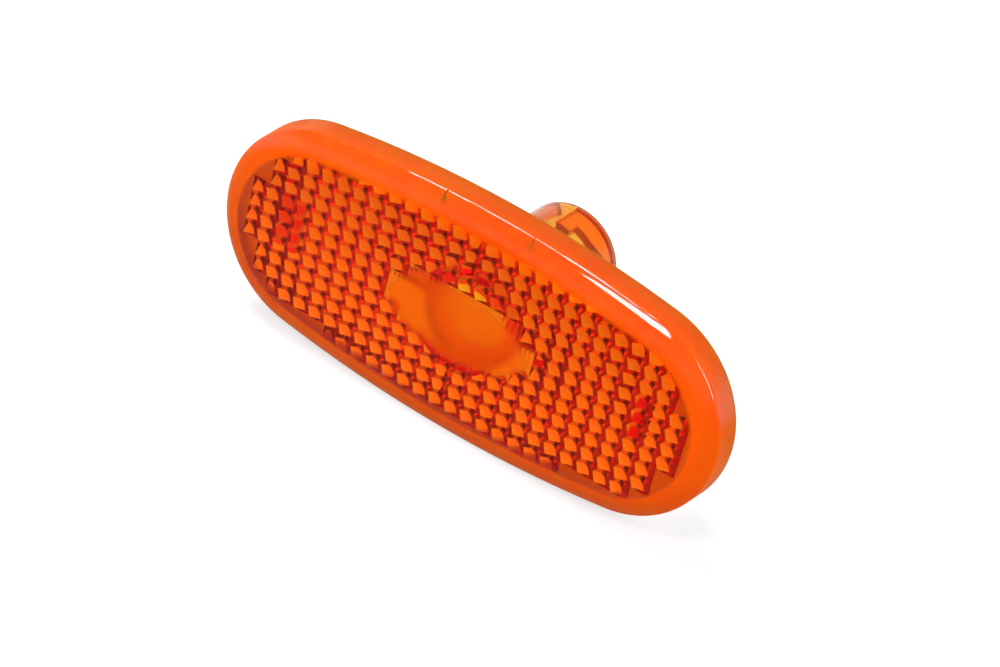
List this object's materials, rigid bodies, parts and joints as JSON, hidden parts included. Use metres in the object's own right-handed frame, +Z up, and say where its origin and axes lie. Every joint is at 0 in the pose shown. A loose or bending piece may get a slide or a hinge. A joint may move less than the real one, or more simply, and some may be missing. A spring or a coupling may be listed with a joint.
{
  "type": "vehicle indicator lamp",
  "caption": "Amber oval side indicator lamp: crowned lens with a reflex prism field round a fluted window, closed by a rear housing with a neck for a twist-in bulb holder.",
  "frame": {"origin": "on the neck's axis, in the plane of the lens rim that meets the vehicle's panel", "axes": "+X along the lamp, +Y to the back along the neck, +Z up; the front face looks towards -Y"},
  "size_m": [0.1066, 0.0377, 0.0458],
  "materials": {
    "amber_lens": "clear amber moulded plastic, polished",
    "amber_housing": "clear amber moulded plastic, polished"
  },
  "bodies": {
    "root": {"lens": "amber_lens", "rear_housing": "amber_housing"}
  },
  "joints": []
}
